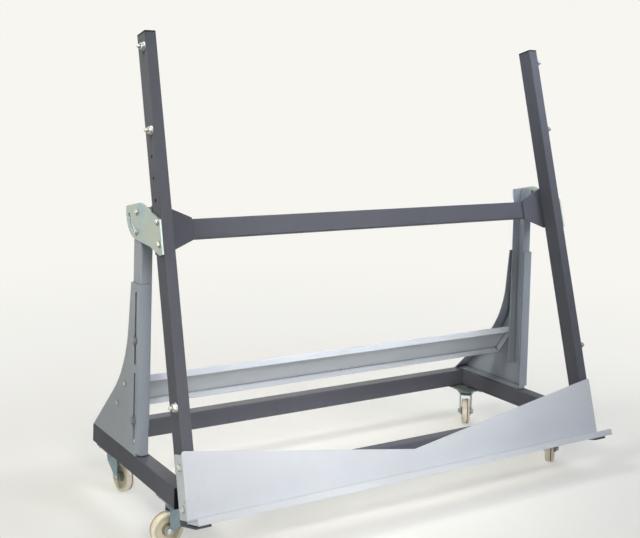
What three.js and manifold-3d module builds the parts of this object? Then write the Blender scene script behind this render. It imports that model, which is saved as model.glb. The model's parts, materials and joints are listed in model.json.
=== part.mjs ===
// Sheet goods cart: a wheeled base with two height-adjustable posts that carry a tilting frame for boards.
// Millimetres, +X along the cart, -Y the loading side, +Z up, standing on z = 0.
import * as THREE from "three";
import { mergeVertices } from "three/addons/utils/BufferGeometryUtils.js";
import Module from "manifold-3d";

const wasm = await Module();
wasm.setup();

// Clearances
const fit = 0.3; // between faces that touch
const boltClear = 0.3; // around a bolt's shank, on the radius
const lap = 0.1; // overlap of two shapes that make one piece
const flush = 0.01; // keeps the faces of such shapes out of one plane
const over = 1; // a cutter's reach past the face

// Overall frame
const halfSpan = 654; // outer faces of the arms and posts, from the middle
const leanDeg = 15.2; // lean of the frame at rest
const tubeRound = 3; // outer corner radius of the tubes
const tubeWall = 2.5;

// Casters
const wheelRadius = 40;
const wheelWidth = 25;
const hubWidth = 31;
const hubRadius = 12;
const webWidth = 13;
const webSlope = 2; // run of the web's sloped sides
const rimDepth = 8;
const rimLip = 1; // rim's inner edge below the tread's side
const treadRound = 4;
const casterHeight = 112; // floor to the rail's underside
const casterTrail = 32;
const casterPlateX = 85;
const casterPlateY = 100;
const casterPlateThickness = 4;
const casterPlateRound = 6;
const dishRadius = 21; // pressed ring in the plate's top
const dishDepth = 1.5;
const raceRadius = 29;
const raceHeight = 7;
const raceTaper = 2;
const cupHeight = 8;
const cupTaper = 4;
const kingPinRadius = 6;
const kingPinHeadRadius = 10;
const kingPinHeadHeight = 4;
const forkSheet = 3;
const forkRearX = -25; // crown, from the swivel axis
const forkFrontX = 30;
const forkShoulder = 8; // height of the crown's upright rear edge
const forkWaistX = -21;
const forkWaistZ = 70;
const forkBossRadius = 11;
const axleRadius = 4;
const axleHeadAcross = 13;
const axleHeadHeight = 5.3;
const axleEnd = 1; // past the nut
const casterInset = 45; // swivel axis inside the panel's outer face
const casterFrontInset = 63; // behind the rail's front end
const casterRearInset = 65; // in front of the rail's rear end
const casterSwivelDeg = { front_left: 176, front_right: 222, rear_left: -82, rear_right: 232 };

// Base
const railWidth = 40;
const railHeight = 50;
const railRearY = 302;
const armRailGap = 3.5; // between a leaning arm and the rail's end
const rearTubeDepth = 40;
const frontTubeDepth = 30;
const frontTubeProud = 6; // in front of the rails' ends
const plugFlange = 3;
const plugDepth = 14;

// Side panels
const panelSheet = 3;
const panelHeight = 435; // above the rail
const panelFrontFlange = 30;
const panelRearFlange = 40;
const panelFootFlange = 34;
const panelGuideGap = 1; // behind the post, at the panel's top
const panelFootDepth = 299;
const panelBendY = 81; // where the two straight parts of the rear edge would meet
const panelBendHeight = 208;
const panelBendRadius = 300;
const panelRelief = 9; // notch at the foot of the front bend
const panelFlangeLift = 2; // front flange above the foot

// Posts
const postWidth = 30;
const postDepth = 50;
const postAxisInset = 20; // pivot and clamp bolts behind the post's front face
const postBottomHeight = 72; // above the rail, lowest setting
const postAbovePivot = 13.5;
const postPlugPlate = 3;
const postPlugSkirt = 8;
const pivotHeight = 615; // above the rail, lowest setting
const clampLowHeight = 88; // lower clamp bolt above the rail
const clampPitch = 204;
const liftUp = 116; // slot length above the bolt
const liftDown = 57; // slot length below the bolt

// Rear beam
const beamWeb = 101;
const beamFlange = 21;
const beamSheet = 3;
const beamTabInset = 0.5; // behind the flanges' edges
const beamSlopeDeg = 37; // web away from upright
const beamTopY = 85;
const beamTopHeight = 181; // above the rail

// Bolts
const m10 = { shank: 5, across: 17, head: 6.4, nut: 8, washer: 10.5, washerThickness: 2 };
const m8 = { shank: 4, across: 13, head: 5.3, nut: 6.5, washer: 8.5, washerThickness: 1.6 };

// Tilting frame, measured from the pivot: s along the arm, q to the rear
const armWidth = 30;
const armDepth = 50;
const armFrontQ = -132;
const armTopS = 427;
const armBottomS = -736;
const armPlugFlange = 4;
const armBoltInset = 14; // bolts behind the arm's front face
const spareHoleRadius = 4.5;
const spareHoleFirstS = 12;
const spareHolePitch = 53.7;
const spareHoles = 3;
const gussetSheet = 5;
const gussetReach = 74; // inward of the arm
const gussetTopS = 3;
const gussetBottomS = -116;
const barHeight = 50;
const barDepth = 30;
const barMiddleS = -58;
const barEndInset = 14;
const gussetTipMargin = 2.5;

// Tilt plates
const tiltSheet = 5;
const tiltDiscRadius = 70;
const tiltDiscStartQ = 18; // where the lower edge meets the disc
const tiltTopRearS = 26;
const tiltTopFrontQ = -28;
const tiltTopFrontS = 20;
const tiltTopRound = 40;
const tiltFrontTopS = -37;
const tiltFrontBottomS = -121;
const tiltFrontInset = 1;
const tiltHeel = 17; // length of the lower front edge
const tiltHeelDrop = 1;
const tiltWaistQ = -65;
const tiltWaistS = -95;
const tiltBoltUpperS = -42;
const tiltBoltPitch = 53.5;
const arcRadius = 50; // pivot to the bolt in the arc slot

// Shelf
const shelfSheet = 3;
const shelfBottomS = -732;
const shelfEndHeight = 160;
const shelfMiddleHeight = 61;
const shelfCornerRound = 8;
const ledgeReach = 61; // in front of the arm
const lipHeight = 16;
const shelfFlangeDepth = 38;
const shelfFlangeInset = 5; // from the shelf's lower edge and upper corner
const shelfBoltLowRise = 30;
const shelfBoltPitch = 92;

// Feet
const footThickness = 6;
const footWidth = 40;
const footReach = 36; // in front of the arm
const footHeelInset = 4;

// Fineness
const roundSides = 20;
const smallSides = 12;
const wheelSides = 28;
const cornerSteps = 2;
const bendSteps = 8;
const arcSteps = 10;
const endSteps = 6; // round end of a slot
const bossSteps = 7;

const lean = THREE.MathUtils.degToRad(leanDeg);
const tiltRange = Math.PI / 2 - lean; // from rest until the arms lie level
const railBottomZ = casterHeight;
const railTopZ = railBottomZ + railHeight;
const panelOuterX = halfSpan + panelSheet;
const postFrontY = panelSheet + fit;
const postY = postFrontY + postDepth / 2;
const axisY = postFrontY + postAxisInset;
const pivotZ = railTopZ + pivotHeight;
const armRearQ = armFrontQ + armDepth;
const casterX = panelOuterX - casterInset;
const leanRise = (railTopZ - pivotZ + armRearQ * Math.sin(lean)) / Math.cos(lean); // along the arm, at the rail's top
const armRearY = axisY + armRearQ * Math.cos(lean) + leanRise * Math.sin(lean);
const railFrontY = armRearY + armRailGap + plugFlange + fit;
const frontTubeY = railFrontY - frontTubeProud;
const casterFrontY = railFrontY + casterFrontInset;
const casterRearY = railRearY - casterRearInset;

// Materials
const paint = (color, roughness, metalness) =>
  new THREE.MeshStandardMaterial({ color, roughness, metalness });
const darkPaint = () => paint(0x5a5b63, 0.5, 0.1);
const greyPaint = () => paint(0x858b94, 0.5, 0.1);
const lightPaint = () => paint(0xc4c8d2, 0.4, 0.1);
const zinc = () => paint(0xb0bbb8, 0.35, 0.8);
const blackPlastic = () => paint(0x1c1c1e, 0.6, 0);
const nylon = () => paint(0xd8cbb0, 0.5, 0);

// Closed geometry to a solid and back
function solid(geometry) {
  const bare = geometry.clone();
  bare.deleteAttribute("normal");
  bare.deleteAttribute("uv");
  const merged = mergeVertices(bare, 1e-4);
  return new wasm.Manifold(
    new wasm.Mesh({
      numProp: 3,
      vertProperties: new Float32Array(merged.attributes.position.array),
      triVerts: new Uint32Array(merged.index.array),
    }),
  );
}

function geometryOf(body) {
  const mesh = body.getMesh();
  const geometry = new THREE.BufferGeometry();
  geometry.setAttribute("position", new THREE.BufferAttribute(new Float32Array(mesh.vertProperties), 3));
  geometry.setIndex(new THREE.BufferAttribute(new Uint32Array(mesh.triVerts), 1));
  return geometry;
}

const join = (...geometries) => geometryOf(geometries.map(solid).reduce((a, b) => a.add(b)));
const cut = (geometry, ...tools) =>
  geometryOf(tools.map(solid).reduce((a, b) => a.subtract(b), solid(geometry)));

// A box between two corners
function box(x0, x1, y0, y1, z0, z1) {
  const geometry = new THREE.BoxGeometry(x1 - x0, y1 - y0, z1 - z0);
  return geometry.translate((x0 + x1) / 2, (y0 + y1) / 2, (z0 + z1) / 2);
}

// A prism of a shape drawn in (y, z), from x0 to x1
function prismX(shape, x0, x1) {
  const geometry = new THREE.ExtrudeGeometry(shape, {
    depth: x1 - x0,
    bevelEnabled: false,
    curveSegments: cornerSteps,
  });
  const turn = new THREE.Matrix4().makeBasis(
    new THREE.Vector3(0, 1, 0),
    new THREE.Vector3(0, 0, 1),
    new THREE.Vector3(1, 0, 0),
  );
  return geometry.applyMatrix4(turn).translate(x0, 0, 0);
}

// A prism of a shape drawn in (x, z), from y0 to y1
function prismY(shape, y0, y1) {
  const geometry = new THREE.ExtrudeGeometry(shape, {
    depth: y1 - y0,
    bevelEnabled: false,
    curveSegments: cornerSteps,
  });
  return geometry.rotateX(Math.PI / 2).translate(0, y1, 0);
}

// A prism of a shape drawn in (x, y), from z0 to z1
function prismZ(shape, z0, z1) {
  const geometry = new THREE.ExtrudeGeometry(shape, {
    depth: z1 - z0,
    bevelEnabled: false,
    curveSegments: cornerSteps,
  });
  return geometry.translate(0, 0, z0);
}

// A rod along X
function rodX(radius, x0, x1, y, z, sides = roundSides) {
  const geometry = new THREE.CylinderGeometry(radius, radius, x1 - x0, sides);
  return geometry.rotateZ(Math.PI / 2).translate((x0 + x1) / 2, y, z);
}

// A six-sided prism along X, measured across its flats
function hexX(across, x0, x1, y, z) {
  return rodX(across / Math.sqrt(3), x0, x1, y, z, 6);
}

function roundedRect(path, cx, cy, width, height, radius) {
  const x0 = cx - width / 2;
  const x1 = cx + width / 2;
  const y0 = cy - height / 2;
  const y1 = cy + height / 2;
  path.moveTo(x0 + radius, y0);
  path.lineTo(x1 - radius, y0);
  path.absarc(x1 - radius, y0 + radius, radius, -Math.PI / 2, 0, false);
  path.lineTo(x1, y1 - radius);
  path.absarc(x1 - radius, y1 - radius, radius, 0, Math.PI / 2, false);
  path.lineTo(x0 + radius, y1);
  path.absarc(x0 + radius, y1 - radius, radius, Math.PI / 2, Math.PI, false);
  path.lineTo(x0, y0 + radius);
  path.absarc(x0 + radius, y0 + radius, radius, Math.PI, 1.5 * Math.PI, false);
  return path;
}

// Section of a rectangular tube
function tubeSection(cx, cy, width, height) {
  const shape = roundedRect(new THREE.Shape(), cx, cy, width, height, tubeRound);
  const halfWidth = width / 2 - tubeWall;
  const halfHeight = height / 2 - tubeWall;
  const bore = polygon([
    [cx - halfWidth, cy - halfHeight],
    [cx - halfWidth, cy + halfHeight],
    [cx + halfWidth, cy + halfHeight],
    [cx + halfWidth, cy - halfHeight],
  ]);
  shape.holes.push(bore);
  return shape;
}

// Solid section that slides into that tube
function plugSection(cx, cy, width, height) {
  const halfWidth = width / 2 - tubeWall - fit;
  const halfHeight = height / 2 - tubeWall - fit;
  return polygon([
    [cx - halfWidth, cy - halfHeight],
    [cx + halfWidth, cy - halfHeight],
    [cx + halfWidth, cy + halfHeight],
    [cx - halfWidth, cy + halfHeight],
  ]);
}

const flangeSection = (cx, cy, width, height) =>
  roundedRect(new THREE.Shape(), cx, cy, width, height, tubeRound);

function polygon(points) {
  return new THREE.Shape(points.map(([a, b]) => new THREE.Vector2(a, b)));
}

// Two straight lines a-c-b with the corner c rounded
function roundedBend(a, c, b, radius, steps) {
  const va = new THREE.Vector2(a[0] - c[0], a[1] - c[1]).normalize();
  const vb = new THREE.Vector2(b[0] - c[0], b[1] - c[1]).normalize();
  const half = Math.acos(THREE.MathUtils.clamp(va.dot(vb), -1, 1)) / 2;
  const run = radius / Math.tan(half);
  const middle = va.clone().add(vb).normalize().multiplyScalar(radius / Math.sin(half));
  const centre = new THREE.Vector2(c[0], c[1]).add(middle);
  const start = new THREE.Vector2(c[0], c[1]).addScaledVector(va, run).sub(centre).angle();
  const end = new THREE.Vector2(c[0], c[1]).addScaledVector(vb, run).sub(centre).angle();
  let sweep = end - start;
  if (sweep > Math.PI) sweep -= 2 * Math.PI;
  if (sweep < -Math.PI) sweep += 2 * Math.PI;
  const points = [a];
  for (let i = 0; i <= steps; i++) {
    const angle = start + (sweep * i) / steps;
    points.push([centre.x + radius * Math.cos(angle), centre.y + radius * Math.sin(angle)]);
  }
  points.push(b);
  return points;
}

// The same line moved sideways by an amount
function offsetLine(points, amount) {
  return points.map((p, i) => {
    const before = points[Math.max(i - 1, 0)];
    const after = points[Math.min(i + 1, points.length - 1)];
    const along = new THREE.Vector2(after[0] - before[0], after[1] - before[1]).normalize();
    return [p[0] - along.y * amount, p[1] + along.x * amount];
  });
}

// Bolt along X on the +X side: the head is outside the face at headX, the nut inside the face at nutX
function boltX(size, headX, nutX, y, z) {
  const washer0 = headX + fit;
  const washer1 = washer0 + size.washerThickness;
  const nut1 = nutX - fit;
  const nut0 = nut1 - size.nut;
  const washer = rodX(size.washer, washer0, washer1, y, z, roundSides);
  const head = hexX(size.across, washer1 - lap, washer1 + size.head, y, z);
  const shank = rodX(size.shank, nut0 - size.shank / 2, washer1, y, z, smallSides);
  const nut = hexX(size.across, nut0, nut1, y, z);
  return join(washer, head, shank, nut);
}

const boltHole = (size, x0, x1, y, z) => rodX(size.shank + boltClear, x0, x1, y, z, smallSides);

const cart = new THREE.Group();
const assembly = new THREE.Group();
cart.add(assembly);

function add(parent, name, geometry, material) {
  const mesh = new THREE.Mesh(geometry, material);
  mesh.name = name;
  parent.add(mesh);
  return mesh;
}

// A piece made for the right side, and its mirror image on the left
function addPair(parent, name, geometry, material) {
  add(parent, name + "_right", geometry, material());
  add(parent, name + "_left", geometry, material()).scale.x = -1;
}

// Base: side rails
const railX = panelOuterX - railWidth / 2;
const railTube = prismY(
  tubeSection(railX, railBottomZ + railHeight / 2, railWidth, railHeight),
  railFrontY,
  railRearY,
);
addPair(assembly, "rail", railTube, darkPaint);

const railPlugFront = join(
  prismY(
    flangeSection(railX, railBottomZ + railHeight / 2, railWidth, railHeight),
    railFrontY - fit - plugFlange,
    railFrontY - fit,
  ),
  prismY(
    plugSection(railX, railBottomZ + railHeight / 2, railWidth, railHeight),
    railFrontY - fit - lap,
    railFrontY + plugDepth,
  ),
);
addPair(assembly, "rail_front_plug", railPlugFront, blackPlastic);

const railPlugRear = join(
  prismY(
    flangeSection(railX, railBottomZ + railHeight / 2, railWidth, railHeight),
    railRearY + fit,
    railRearY + fit + plugFlange,
  ),
  prismY(
    plugSection(railX, railBottomZ + railHeight / 2, railWidth, railHeight),
    railRearY - plugDepth,
    railRearY + fit + lap,
  ),
);
addPair(assembly, "rail_rear_plug", railPlugRear, blackPlastic);

// Cross tubes between the rails
const crossHalf = panelOuterX - railWidth - fit;
const crossZ = railBottomZ + railHeight / 2;
add(
  assembly,
  "rear_cross_tube",
  prismX(tubeSection(railRearY - rearTubeDepth / 2, crossZ, rearTubeDepth, railHeight), -crossHalf, crossHalf),
  darkPaint(),
);
add(
  assembly,
  "front_cross_tube",
  prismX(tubeSection(frontTubeY + frontTubeDepth / 2, crossZ, frontTubeDepth, railHeight), -crossHalf, crossHalf),
  darkPaint(),
);

// Side panels: web, front flange, foot flange and a flange along the curved rear edge
const panelBottomZ = railTopZ + fit;
const panelTopZ = railTopZ + panelHeight;
const panelTopDepth = postFrontY + postDepth + panelGuideGap + panelSheet;
const rearEdge = roundedBend(
  [panelTopDepth, panelTopZ],
  [panelBendY, railTopZ + panelBendHeight],
  [panelFootDepth, panelBottomZ + panelSheet],
  panelBendRadius,
  bendSteps,
);
const web = prismX(
  polygon([[0, panelTopZ], ...rearEdge, [panelFootDepth, panelBottomZ], [0, panelBottomZ]].reverse()),
  halfSpan,
  panelOuterX,
);
const innerEdge = offsetLine(rearEdge, -panelSheet);
const rearFlange = prismX(
  polygon([...rearEdge, ...innerEdge.reverse()].reverse()),
  panelOuterX - panelRearFlange,
  panelOuterX - panelSheet / 2,
);
const frontFlange = box(
  panelOuterX - panelFrontFlange,
  panelOuterX,
  0,
  panelSheet,
  panelBottomZ + panelFlangeLift,
  panelTopZ,
);
const footFlange = box(
  panelOuterX - panelFootFlange,
  panelOuterX - panelSheet / 2,
  panelSheet + panelFlangeLift,
  panelFootDepth,
  panelBottomZ,
  panelBottomZ + panelSheet,
);
function clampSlot(height) {
  const r = m10.shank + boltClear;
  const z0 = railTopZ + height - liftDown;
  const z1 = railTopZ + height + liftUp;
  const points = [];
  for (let i = 0; i <= endSteps; i++) {
    const angle = Math.PI + (Math.PI * i) / endSteps;
    points.push([axisY + r * Math.cos(angle), z0 + r * Math.sin(angle)]);
  }
  for (let i = 0; i <= endSteps; i++) {
    const angle = (Math.PI * i) / endSteps;
    points.push([axisY + r * Math.cos(angle), z1 + r * Math.sin(angle)]);
  }
  return prismX(polygon(points), halfSpan - over, panelOuterX + over);
}
const clampHeights = [clampLowHeight, clampLowHeight + clampPitch];
const bendNotch = box(
  panelOuterX - panelRelief,
  panelOuterX + over,
  -over,
  panelRelief,
  panelBottomZ - over,
  panelBottomZ + panelRelief,
);
const panel = cut(join(web, frontFlange, footFlange, rearFlange), bendNotch, ...clampHeights.map(clampSlot));
addPair(assembly, "side_panel", panel, greyPaint);

// Rear beam: a channel laid at a slope, open to the front, with its ends closed by tabs
const beamSlope = THREE.MathUtils.degToRad(beamSlopeDeg);
const beamEnd = halfSpan - fit;
function beamPoint(down, forward) {
  const y = beamTopY + down * Math.sin(beamSlope) - forward * Math.cos(beamSlope);
  const z = railTopZ + beamTopHeight - down * Math.cos(beamSlope) - forward * Math.sin(beamSlope);
  return [y, z];
}
const beamOutline = polygon(
  [
    [0, 0],
    [0, beamFlange],
    [beamSheet, beamFlange],
    [beamSheet, beamSheet],
    [beamWeb - beamSheet, beamSheet],
    [beamWeb - beamSheet, beamFlange],
    [beamWeb, beamFlange],
    [beamWeb, 0],
  ].map(([down, forward]) => beamPoint(down, forward)),
);
const beamTab = polygon(
  [
    [beamSheet / 2, beamSheet / 2],
    [beamSheet / 2, beamFlange - beamTabInset],
    [beamWeb - beamSheet / 2, beamFlange - beamTabInset],
    [beamWeb - beamSheet / 2, beamSheet / 2],
  ].map(([down, forward]) => beamPoint(down, forward)),
);
add(
  assembly,
  "rear_beam",
  join(
    prismX(beamOutline, -beamEnd, beamEnd),
    prismX(beamTab, beamEnd - beamSheet, beamEnd - flush),
    prismX(beamTab, -beamEnd + flush, -beamEnd + beamSheet),
  ),
  greyPaint(),
);

// Posts: rectangular tubes on the inside of the panels, lifted together with the frame
const lift = new THREE.Group();
assembly.add(lift);
const postOuterX = halfSpan - fit;
const postX = postOuterX - postWidth / 2;
const postTopZ = pivotZ + postAbovePivot;
const postTube = prismZ(
  tubeSection(postX, postY, postWidth, postDepth),
  railTopZ + postBottomHeight,
  postTopZ,
);
const postHole = (z) => boltHole(m10, postX, postOuterX + over, axisY, z);
const post = cut(
  postTube,
  postHole(pivotZ),
  postHole(pivotZ - arcRadius),
  ...clampHeights.map((h) => postHole(railTopZ + h)),
);
addPair(lift, "post", post, greyPaint);

// Top plug: a plate flush with the tube's end, with a skirt at the front and at the rear
const plugHalfX = postWidth / 2 - tubeWall - fit;
const plugHalfY = postDepth / 2 - tubeWall - fit;
const plugSkirt = (y0, y1) =>
  box(postX - plugHalfX, postX + plugHalfX, y0, y1, postTopZ - postPlugSkirt, postTopZ - postPlugPlate + lap);
const postPlug = join(
  prismZ(plugSection(postX, postY, postWidth, postDepth), postTopZ - postPlugPlate, postTopZ),
  plugSkirt(postY - plugHalfY, postY - plugHalfY + postPlugPlate),
  plugSkirt(postY + plugHalfY - postPlugPlate, postY + plugHalfY),
);
addPair(lift, "post_plug", postPlug, blackPlastic);

const postWallX = postOuterX - tubeWall;
addPair(
  lift,
  "lower_clamp_bolt",
  boltX(m10, panelOuterX, postWallX, axisY, railTopZ + clampHeights[0]),
  zinc,
);
addPair(
  lift,
  "upper_clamp_bolt",
  boltX(m10, panelOuterX, postWallX, axisY, railTopZ + clampHeights[1]),
  zinc,
);
const tiltPlateX = halfSpan + fit;
const tiltOuterX = tiltPlateX + tiltSheet;
addPair(lift, "pivot_bolt", boltX(m10, tiltOuterX, postWallX, axisY, pivotZ), zinc);
addPair(lift, "arc_bolt", boltX(m10, tiltOuterX, postWallX, axisY, pivotZ - arcRadius), zinc);

// Tilting frame: its group turns about the pivot and leans back at rest
const frame = new THREE.Group();
frame.position.set(0, axisY, pivotZ);
frame.rotation.x = -lean;
lift.add(frame);

const armX = halfSpan - armWidth / 2;
const armQ = armFrontQ + armDepth / 2;
const armBoltQ = armFrontQ + armBoltInset;
const tiltBolts = [tiltBoltUpperS, tiltBoltUpperS - tiltBoltPitch];
const shelfBolts = [shelfBottomS + shelfBoltLowRise, shelfBottomS + shelfBoltLowRise + shelfBoltPitch];
const spareS = Array.from({ length: spareHoles }, (_, i) => spareHoleFirstS + i * spareHolePitch);
const arm = cut(
  prismZ(tubeSection(armX, armQ, armWidth, armDepth), armBottomS, armTopS),
  ...tiltBolts.map((s) => boltHole(m10, armX, halfSpan + over, armBoltQ, s)),
  ...shelfBolts.map((s) => boltHole(m8, armX, halfSpan + over, armBoltQ, s)),
  ...spareS.map((s) => rodX(spareHoleRadius, armX, halfSpan + over, armQ, s, smallSides)),
);
addPair(frame, "arm", arm, darkPaint);

const armPlug = join(
  prismZ(flangeSection(armX, armQ, armWidth, armDepth), armTopS + fit, armTopS + fit + armPlugFlange),
  prismZ(plugSection(armX, armQ, armWidth, armDepth), armTopS - plugDepth, armTopS + fit + lap),
);
addPair(frame, "arm_plug", armPlug, blackPlastic);

// Gussets on the arms' rear faces carry the cross bar
const gussetQ = armRearQ + fit;
const barFrontQ = gussetQ + gussetSheet + fit;
const armInnerX = halfSpan - armWidth;
const gussetTipX = armInnerX - gussetReach;
const barTopS = barMiddleS + barHeight / 2;
const barBottomS = barMiddleS - barHeight / 2;
const gusset = prismY(
  polygon([
    [halfSpan - fit, gussetBottomS],
    [halfSpan - fit, gussetTopS],
    [armInnerX, gussetTopS],
    [gussetTipX, barTopS + gussetTipMargin],
    [gussetTipX, barBottomS - gussetTipMargin],
    [armInnerX, gussetBottomS],
  ]),
  gussetQ,
  gussetQ + gussetSheet,
);
addPair(frame, "gusset", gusset, darkPaint);
add(
  frame,
  "cross_bar",
  prismX(
    tubeSection(barFrontQ + barDepth / 2, barMiddleS, barDepth, barHeight),
    -(halfSpan - barEndInset),
    halfSpan - barEndInset,
  ),
  darkPaint(),
);

// Tilt plates: a disc round the pivot with a lobe on the arm, and an arc slot for the clamp bolt
const arcStart = -Math.PI / 2 + lean;
const tiltFrontQ = armFrontQ + tiltFrontInset;
const tiltShape = new THREE.Shape();
tiltShape.moveTo(tiltFrontQ, tiltFrontTopS);
tiltShape.lineTo(tiltFrontQ, tiltFrontBottomS);
tiltShape.lineTo(tiltFrontQ + tiltHeel, tiltFrontBottomS - tiltHeelDrop);
tiltShape.lineTo(tiltWaistQ, tiltWaistS);
const discStart = -Math.acos(tiltDiscStartQ / tiltDiscRadius);
const discEnd = Math.asin(tiltTopRearS / tiltDiscRadius);
for (let i = 0; i <= arcSteps; i++) {
  const angle = discStart + ((discEnd - discStart) * i) / arcSteps;
  tiltShape.lineTo(tiltDiscRadius * Math.cos(angle), tiltDiscRadius * Math.sin(angle));
}
const tiltTopEdge = roundedBend(
  [tiltDiscRadius * Math.cos(discEnd), tiltTopRearS],
  [tiltTopFrontQ, tiltTopFrontS],
  [tiltFrontQ, tiltFrontTopS],
  tiltTopRound,
  cornerSteps + 1,
);
for (const [q, s] of tiltTopEdge.slice(1, -1)) tiltShape.lineTo(q, s);
function arcSlot(radius, halfWidth, start, end) {
  const points = [];
  const push = (cx, cy, r, a) => points.push([cx + r * Math.cos(a), cy + r * Math.sin(a)]);
  for (let i = 0; i <= arcSteps; i++) push(0, 0, radius + halfWidth, start + ((end - start) * i) / arcSteps);
  for (let i = 1; i < endSteps; i++) {
    push(radius * Math.cos(end), radius * Math.sin(end), halfWidth, end + (Math.PI * i) / endSteps);
  }
  for (let i = 0; i <= arcSteps; i++) push(0, 0, radius - halfWidth, end + ((start - end) * i) / arcSteps);
  for (let i = 1; i < endSteps; i++) {
    const angle = start + Math.PI + (Math.PI * i) / endSteps;
    push(radius * Math.cos(start), radius * Math.sin(start), halfWidth, angle);
  }
  return polygon(points);
}
const tiltCut0 = tiltPlateX - over;
const tiltCut1 = tiltOuterX + over;
const tiltPlate = cut(
  prismX(tiltShape, tiltPlateX, tiltOuterX),
  boltHole(m10, tiltCut0, tiltCut1, 0, 0),
  prismX(arcSlot(arcRadius, m10.shank + boltClear, arcStart, arcStart + tiltRange), tiltCut0, tiltCut1),
  ...tiltBolts.map((s) => boltHole(m10, tiltCut0, tiltCut1, armBoltQ, s)),
);
addPair(frame, "tilt_plate", tiltPlate, zinc);
const armWallX = halfSpan - tubeWall;
addPair(frame, "upper_plate_bolt", boltX(m10, tiltOuterX, armWallX, armBoltQ, tiltBolts[0]), zinc);
addPair(frame, "lower_plate_bolt", boltX(m10, tiltOuterX, armWallX, armBoltQ, tiltBolts[1]), zinc);

// Shelf: one folded sheet with back, ledge, lip and end flanges
const shelfBackQ = armFrontQ - fit;
const shelfFrontQ = shelfBackQ - shelfSheet;
const shelfEndX = halfSpan + fit + shelfSheet;
const lipQ = armFrontQ - ledgeReach;
const shelfTopS = shelfBottomS + shelfEndHeight;
const shelfCornerDrop = (shelfCornerRound * (shelfEndHeight - shelfMiddleHeight)) / shelfEndX;
const shelfBack = new THREE.Shape();
shelfBack.moveTo(-shelfEndX, shelfBottomS);
shelfBack.lineTo(shelfEndX, shelfBottomS);
shelfBack.lineTo(shelfEndX, shelfTopS - shelfCornerRound);
shelfBack.quadraticCurveTo(
  shelfEndX,
  shelfTopS,
  shelfEndX - shelfCornerRound,
  shelfTopS - shelfCornerDrop,
);
shelfBack.lineTo(0, shelfBottomS + shelfMiddleHeight);
shelfBack.lineTo(-shelfEndX + shelfCornerRound, shelfTopS - shelfCornerDrop);
shelfBack.quadraticCurveTo(
  -shelfEndX,
  shelfTopS,
  -shelfEndX,
  shelfTopS - shelfCornerRound,
);
const backMiddleQ = shelfFrontQ + shelfSheet / 2;
const ledgeMiddleS = shelfBottomS + shelfSheet / 2;
const endFlange = (x0, x1) =>
  box(
    x0,
    x1,
    backMiddleQ,
    armFrontQ + shelfFlangeDepth,
    shelfBottomS + shelfFlangeInset,
    shelfTopS - shelfCornerRound / 2 - shelfFlangeInset,
  );
const shelf = cut(
  join(
    prismY(shelfBack, shelfFrontQ, shelfBackQ),
    box(-shelfEndX, shelfEndX, lipQ, backMiddleQ, shelfBottomS, shelfBottomS + shelfSheet),
    box(-shelfEndX, shelfEndX, lipQ, lipQ + shelfSheet, ledgeMiddleS, shelfBottomS + lipHeight),
    endFlange(shelfEndX - shelfSheet, shelfEndX - flush),
    endFlange(-shelfEndX + flush, -shelfEndX + shelfSheet),
  ),
  ...shelfBolts.map((s) => boltHole(m8, halfSpan - over, shelfEndX + over, armBoltQ, s)),
  ...shelfBolts.map((s) => boltHole(m8, -shelfEndX - over, -halfSpan + over, armBoltQ, s)),
);
add(frame, "shelf_plate", shelf, lightPaint());
addPair(frame, "lower_shelf_bolt", boltX(m8, shelfEndX, armWallX, armBoltQ, shelfBolts[0]), zinc);
addPair(frame, "upper_shelf_bolt", boltX(m8, shelfEndX, armWallX, armBoltQ, shelfBolts[1]), zinc);

// Feet across the arms' lower ends, reaching forward under the ledge
const foot = box(
  halfSpan - footWidth,
  halfSpan,
  armFrontQ - footReach,
  armRearQ - footHeelInset,
  armBottomS - fit - footThickness,
  armBottomS - fit,
);
addPair(frame, "foot", foot, darkPaint);

// Casters, drawn with the swivel axis on z and the wheel trailing along +X
const plateTopZ = casterHeight - fit;
const plateBottomZ = plateTopZ - casterPlateThickness;
const raceBottomZ = plateBottomZ - raceHeight;
const cupTopZ = raceBottomZ - fit;
const crownTopZ = cupTopZ - cupHeight;
const crownBottomZ = crownTopZ - forkSheet;
const pinHeadTopZ = crownBottomZ - fit;

// A round piece standing on z0, its lower radius given last
const roundZ = (radius, z0, z1, sides, lowerRadius = radius) =>
  new THREE.CylinderGeometry(radius, lowerRadius, z1 - z0, sides)
    .rotateX(Math.PI / 2)
    .translate(0, 0, (z0 + z1) / 2);

const topPlate = cut(
  prismZ(
    roundedRect(new THREE.Shape(), 0, 0, casterPlateX, casterPlateY, casterPlateRound),
    plateBottomZ,
    plateTopZ,
  ),
  roundZ(dishRadius, plateTopZ - dishDepth, plateTopZ + over, roundSides),
);
const casterPlate = join(
  topPlate,
  roundZ(kingPinHeadRadius, plateTopZ - dishDepth - lap, plateTopZ - flush, smallSides),
  roundZ(raceRadius, raceBottomZ, plateBottomZ + lap, roundSides, raceRadius - raceTaper),
  roundZ(kingPinRadius, pinHeadTopZ - lap, raceBottomZ + lap, smallSides),
  roundZ(kingPinHeadRadius, pinHeadTopZ - kingPinHeadHeight, pinHeadTopZ, smallSides),
);

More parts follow.
